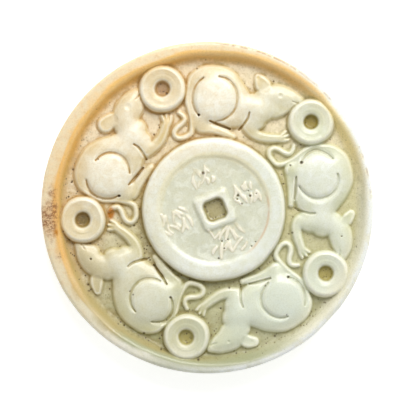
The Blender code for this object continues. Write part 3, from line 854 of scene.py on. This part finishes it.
def read_surface(n):
    """What the colours depend on: the place in mm, the masks of the carving and a few noises."""
    place = n.add("ShaderNodeTexCoord").outputs["Object"]
    n.mm = n.add("ShaderNodeVectorMath", {0: place, 1: (1 / MM,) * 3}, operation="MULTIPLY").outputs[0]
    n.x, n.y, n.z = n.add("ShaderNodeSeparateXYZ", {0: n.mm}).outputs
    # cavity and depth: how far a point lies below its near and its wider surroundings, for painted shade in
    # creases and narrow places
    n.cavity, n.depth, n.pits = n.channels("form")
    n.low, n.wall, n.hole = n.channels("place")
    # stroke, edge and crown: the strokes, convex edges for painted highlight, and tops for painted light
    n.stroke, n.edge, n.crown = n.channels("wear")
    n.russet, n.orange, n.tan = n.channels("stain")
    n.patch = n.noise(0.17, 4.0, 0.6)
    n.mottle = n.noise(0.6, 5.0, 0.65)
    n.grain = n.noise(2.6, 4.0, 0.6)
    n.veins = n.noise(0.24, 6.0, 0.6, 1.4)
    n.from_coin = n.distance((*COIN_CENTRE, THICKNESS))
    n.radius = n.math("SQRT", n.plus(n.times(n.x, n.x), n.times(n.y, n.y)))
    n.outer = n.ramp(n.radius, 41.0, 47.5)

    # Warm skin towards the upper left, celadon towards the lower right
    cloud = n.noise(0.045, 3.0, 0.55)
    lean = n.plus(n.slant(-0.016, 0.014), n.times(n.minus(cloud, 0.5), 1.1))
    n.warmth = n.ramp(lean, -0.25, 0.75)

    # The right side is paler, the bottom duller and the lower left dirtier
    n.calm = n.ramp(n.slant(0.02, -0.008), 0.05, 0.6)
    n.dull = n.ramp(n.slant(-0.3, -0.95), 23.0, 40.0)
    n.lower = n.ramp(n.y, 8.0, -34.0)
    n.left = n.ramp(n.slant(0.6, 1.0), 12.0, -25.0, 0.2, 1.0)
    n.line = n.shades("line")


def lit_tops_and_shaded_sides(n):
    """The tops of the forms, paler as painted light, with white clouds in the stone, and their sides, tan as
    painted shade.
    """
    low_tops = n.mix(n.ramp(n.slant(0.5, 1.0), -26.0, -38.0), "top low", "top lowest")
    low_tops = n.mix(n.ramp(n.from_coin, 21.0, 24.0), "ring low", low_tops)
    top = n.mix(n.ramp(n.y, -4.0, -29.0), "top", low_tops)
    top = n.mix(n.ramp(n.slant(-1.0, -0.4), 8.0, 30.0, 0.0, 0.8), top, "top left")
    top = n.mix(n.warmth, top, "top warm")
    side = n.mix(n.calm, "side", n.mix(n.lower, "side calm", "side calm low"))
    side = n.mix(n.warmth, side, "side warm")
    return n.mix(n.ramp(n.veins, 0.38, 0.6, 0.22, 0.0), top, side), side


def ground_tone(n):
    """The sunk ground: darker and duller where it lies in a narrow place, as painted shade, and paler towards
    the top.
    """
    share = n.times(n.ramp(n.depth, 0.3, 1.0), n.minus(1.0, n.calm, 0.6))
    ground = n.mix(share, n.shades("ground"), n.shades("deep ground"))
    return n.mix(n.ramp(n.y, 8.0, 26.0, 0.0, 0.8), ground, "ground top")


def wall_tone(n):
    """The rim's inner wall: golden at the top and the left, pale at the right, olive at the bottom."""
    cool = n.mix(n.calm, "wall", n.mix(n.ramp(n.y, 0.0, 24.0), "wall calm", "wall calm top"))
    cool = n.mix(n.dull, cool, "wall dull")
    # Painted light: the wall's upper part is a paler gold, more so towards the top, where the wall lies in
    # shade
    upper = n.times(n.ramp(n.z, 9.8, 11.8), n.ramp(n.y, 0.0, 36.0, 0.2, 1.0))
    golden = n.times(n.ramp(n.slant(-0.3, 1.0), 12.0, 33.0), 0.9)
    golden = n.math("MAXIMUM", n.warmth, golden)
    wall = n.mix(golden, cool, n.mix(upper, "wall golden", "wall golden top"))
    corner = n.ramp(n.slant(-0.8, -0.6), 18.0, 38.0, 0.0, 0.8)
    return n.mix(n.times(corner, n.ramp(n.z, 11.8, 9.8)), wall, "wall corner")


def stone(n):
    """The stone before its dirt and stains, with paler crowns and tan sides on the forms as painted light and
    shade.
    """
    top, side = lit_tops_and_shaded_sides(n)
    ground, wall = ground_tone(n), wall_tone(n)
    # How pale each point is: painted light on the crowns and higher up, with random patches
    pale = n.plus(n.times(n.crown, 0.85), n.ramp(n.z, 10.5, 11.8, 0.0, 0.15),
                  n.times(n.minus(n.patch, 0.5), 0.7))
    body = n.mix(n.ramp(pale, 0.15, 1.05), side, top)
    body = n.lay(body, "skin", n.ramp(n.distance(DARK_SKIN), 17.0, 5.0, 0.0, 0.85))

    # The coin's sunk field is a little greener than its ring
    field = n.mix(n.ramp(n.veins, 0.46, 0.64), n.mix(n.lower, "field", "field low"), "field vein")
    body = n.lay(body, field, n.ramp(n.from_coin, 16.6, 15.2), n.ramp(n.z, 11.75, 11.3), 0.7)
    # Painted light: a pale warm tint on the upper side of the field's step, where it lies in shade
    from_edge = n.math("ABSOLUTE", n.minus(n.from_coin, FIELD_RADIUS + 0.2))
    body = n.lay(body, "field edge", n.ramp(from_edge, 1.5, 0.4), n.ramp(n.y, -8.0, 8.0, 0.0, 0.55))

    rim = n.mix(n.ramp(n.y, -28.0, -42.0), "rim", "rim low")
    rim = n.mix(n.warmth, n.mix(n.ramp(n.y, -43.0, -48.0), rim, "rim bottom"), "rim warm")
    body = n.lay(body, rim, n.outer, 0.9)
    body = n.lay(body, n.mix(n.outer, side, wall), n.ramp(n.mottle, 0.42, 0.74, 0.0, 0.22))
    body = n.lay(body, ground, n.low, 0.85)
    # Painted shade: the ground's colour creeps up the forms where they stand in a narrow place
    body = n.lay(body, ground, n.ramp(n.depth, 0.2, 0.9), 0.35)
    body = n.lay(body, wall, n.wall, 0.95)
    body = n.lay(body, "stroke foot", n.ramp(n.stroke, 0.04, 0.3, 0.0, 0.35))
    body = n.lay(body, "stroke top", n.ramp(n.stroke, 0.3, 0.75, 0.0, 0.75))
    # The drilled holes and the square hole are painted dark brown, partly their own colour and partly painted
    # shade
    warm = n.mix(n.ramp(n.y, 5.0, 25.0), "hollow warm", "hollow warm top")
    hollow = n.mix(n.warmth, n.mix(n.lower, "hollow", "hollow low"), warm)
    return n.lay(body, hollow, n.hole, 0.93)


def creased(n, body):
    """Painted shade and olive dirt in the creases and, darkest, in the cuts; olive dirt in narrow places."""
    # Painted shade, mixed with olive dirt, in the creases, patchy
    n.crease = n.times(n.ramp(n.cavity, 0.02, 0.22), n.minus(0.9, n.calm, 0.6),
                       n.ramp(n.noise(0.4, 3.0), 0.35, 0.62, 0.45, 1.0))
    body = n.lay(body, n.line, n.crease, n.minus(1.0, n.hole, 0.6))
    body = n.lay(body, n.mix(n.warmth, "moss", "moss warm"), n.ramp(n.depth, 0.3, 0.85),
                 n.ramp(n.noise(0.55, 4.0, 0.75), 0.4, 0.6), n.minus(1.0, n.hole),
                 n.left, n.minus(0.85, n.calm, 0.55))
    # Painted shade with dirt, darkest in the cuts
    return n.lay(body, n.shades("cut"), n.ramp(n.cavity, 0.16, 0.42),
                 n.ramp(n.noise(0.7, 4.0, 0.7), 0.38, 0.6, 0.25, 1.0),
                 n.minus(0.8, n.calm, 0.65))


def worn(n, body):
    """Pale edges, partly wear and partly painted highlight, the tan line on the coin, and the brown hairline
    and white chips with painted reflection on the rim.
    """
    # Painted highlight on convex edges, with some wear, fainter on the warm and dull parts of the rim
    glint = n.minus(0.55, n.outer, n.math("MAXIMUM", n.warmth, n.dull), 0.5)
    body = n.lay(body, "worn edge and highlight", n.ramp(n.edge, 0.03, 0.18), glint)
    body = n.lay(body, "tan line", n.tan, 0.55)
    from_line = n.math("ABSOLUTE", n.minus(n.radius, 49.2))
    body = n.lay(body, "hairline", n.ramp(from_line, 0.45, 0.1),
                 n.ramp(n.slant(1.0, 1.0), 46.0, 58.0), n.ramp(n.mottle, 0.35, 0.55), 0.7)
    # White chips with painted reflection on the rim's outer edge at the right
    body = n.lay(body, "chips and reflection", n.ramp(n.radius, 47.4, 49.2), n.ramp(n.z, 9.5, 11.6),
                 n.ramp(n.patch, 0.36, 0.56, 0.35, 1.0), n.calm, 0.85)

    # The plain side, unseen from above, keeps more of the stone's own colour
    return n.lay(body, n.mix(n.warmth, "flank", "flank warm"), n.ramp(n.z, 11.0, 9.0),
                 n.ramp(n.radius, 49.0, 49.7), n.ramp(n.patch, 0.3, 0.7, 0.9, 0.5))


def gritty(n, body):
    """Grit and freckles: many in the low ground and the creases, few on what stands up."""
    dirty = n.math("MINIMUM", n.plus(n.low, n.hole, n.crease, n.times(n.wall, 0.4)), 1.0)
    dirty = n.plus(n.times(dirty, 0.9), 0.06)
    body = n.lay(body, n.line, n.ramp(n.noise(1.7, 4.0, 0.8), 0.5, 0.66), dirty, 0.5)
    freckles = n.add("ShaderNodeTexVoronoi", {"Vector": n.mm, "Scale": 0.9}).outputs["Distance"]
    return n.lay(body, "dot", n.ramp(freckles, 0.32, 0.16), dirty, n.left,
                 n.plus(n.ramp(n.depth, 0.3, 0.8), 0.3),
                 n.ramp(n.noise(0.35, 3.0), 0.38, 0.58), 0.85)


def stained(n, body):
    """The russet skin left on the rim, rust by the left coin, dirt in the pits, and a fine grain."""
    body = n.lay(body, "rim patch", n.outer, n.warmth,
                 n.ramp(n.noise(0.5, 5.0, 0.7), 0.5, 0.68, 0.0, 0.4))
    body = n.lay(body, "russet", n.russet, 0.55)
    body = n.lay(body, "crust", n.russet, n.ramp(n.noise(1.0, 6.0, 0.75), 0.44, 0.58), 0.85)
    body = n.lay(body, "orange", n.orange, n.ramp(n.noise(1.3, 5.0, 0.7), 0.34, 0.48, 0.5, 1.0))
    body = n.lay(body, "pit", n.pits, 0.85)
    return n.mix(n.ramp(n.grain, 0.42, 0.72, 0.0, 0.22), body, "grain", "MULTIPLY")


def jade_material():
    """Polished jade: soft light inside, a thin coat, rougher in the ground."""
    material = bpy.data.materials.new("jade")
    n = Nodes(material)
    read_surface(n)
    body = stone(n)
    for step in (creased, worn, gritty, stained):
        body = step(n, body)
    height = n.plus(n.times(n.mottle, 0.35), n.times(n.grain, 0.12))
    bump = n.add("ShaderNodeBump", {"Strength": 0.3, "Distance": 0.0003, "Height": height}).outputs[0]
    gloss = n.plus(n.ramp(n.low, 0.0, 1.0, 0.36, 0.6), n.times(n.minus(n.mottle, 0.5), 0.15))
    shader = n.add("ShaderNodeBsdfPrincipled", {
        "Base Color": body, "Roughness": gloss, "Normal": bump, "Subsurface Weight": 0.5,
        "Subsurface Radius": (1.0, 0.95, 0.75), "Subsurface Scale": 0.0009,
        "Coat Weight": 0.25, "Coat Roughness": 0.14})
    n.add("ShaderNodeOutputMaterial", {"Surface": shader.outputs[0]})
    return material


def floor():
    """A wide plain white table under the stone."""
    half = FLOOR_HALF
    mesh = bpy.data.meshes.new("floor")
    corners = [(-half, -half, 0), (half, -half, 0), (half, half, 0), (-half, half, 0)]
    mesh.from_pydata(corners, [], [(0, 1, 2, 3)])
    obj = placed("floor", mesh)
    obj.location.z = -FLOOR_DROP
    material = bpy.data.materials.new("floor")
    n = Nodes(material)
    shader = n.add("ShaderNodeBsdfPrincipled", {
        "Base Color": (0.93, 0.93, 0.93, 1.0), "Roughness": 0.9, "Specular IOR Level": 0.1,
        "Emission Color": (1.0, 1.0, 1.0, 1.0), "Emission Strength": 0.55})
    n.add("ShaderNodeOutputMaterial", {"Surface": shader.outputs[0]})
    mesh.materials.append(material)


def area_light(name, location, size, power, colour):
    light = bpy.data.lights.new(name, "AREA")
    light.shape = "DISK"
    light.size = size
    light.energy = power
    light.color = colour
    obj = placed(name, light)
    obj.location = location
    obj.rotation_euler = (-obj.location).to_track_quat("-Z", "Y").to_euler()


def stage_and_camera():
    scene = bpy.context.scene
    floor()
    for light in LIGHTS:
        area_light(*light)
    world = bpy.data.worlds.new("studio")
    world.use_nodes = True
    background = world.node_tree.nodes["Background"]
    background.inputs["Color"].default_value = SKY_COLOUR
    background.inputs["Strength"].default_value = SKY_STRENGTH
    scene.world = world
    scene.view_settings.view_transform = "Standard"

    camera = bpy.data.cameras.new("camera")
    camera.sensor_width = SENSOR_WIDTH
    camera.lens = LENS
    camera.clip_start = 0.01
    scene.camera = placed("camera", camera)
    scene.camera.location = CAMERA_PLACE


def rim_wear():
    """How much stone is worn off the rim's outer edge, in mm: more in a few chips at the right."""
    wear = 0.035 + 0.035 * noise(3.2, 31) + 0.10 * smoothstep(noise(1.9, 32), 0.75, 1.3)
    wear += 0.22 * smoothstep(noise(4.0, 33), 0.25, 0.9) * smoothstep(X - 0.3 * Y, 10.0, 40.0)
    return np.maximum(wear, 0.0)


def build():
    fields = carve()
    relief = fields["relief"]
    mesh = thinned(roundel_mesh(relief, rim_wear()), MOST_TRIANGLES)
    mesh.polygons.foreach_set("use_smooth", np.ones(len(mesh.polygons), dtype=bool))
    # How far each point lies below its surroundings, near and wide: masks for painted shade in creases and
    # narrow places, and, negated, for painted highlight on edges
    fine = blurred(relief, 0.45) - relief
    wide = blurred(relief, 2.6) - relief
    paint(mesh, "form", (np.clip(fine, 0, 1), np.clip(wide, 0, 1.5) / 1.5, fields["pits"]))
    paint(mesh, "place", (fields["low"], fields["wall"], fields["holes"]))
    # The wear attribute holds the strokes, the convex edges for painted highlight and the tops for painted
    # light
    paint(mesh, "wear", (fields["strokes"], np.clip(-fine, 0, 1), fields["crown"]))
    paint(mesh, "stain", (fields["russet"], fields["orange"], fields["tan"]))
    mesh.materials.clear()
    mesh.materials.append(jade_material())
    piece = placed("jade_roundel_fine", mesh)
    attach(piece, "root")
    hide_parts("jade_roundel")
    stage_and_camera()


build()
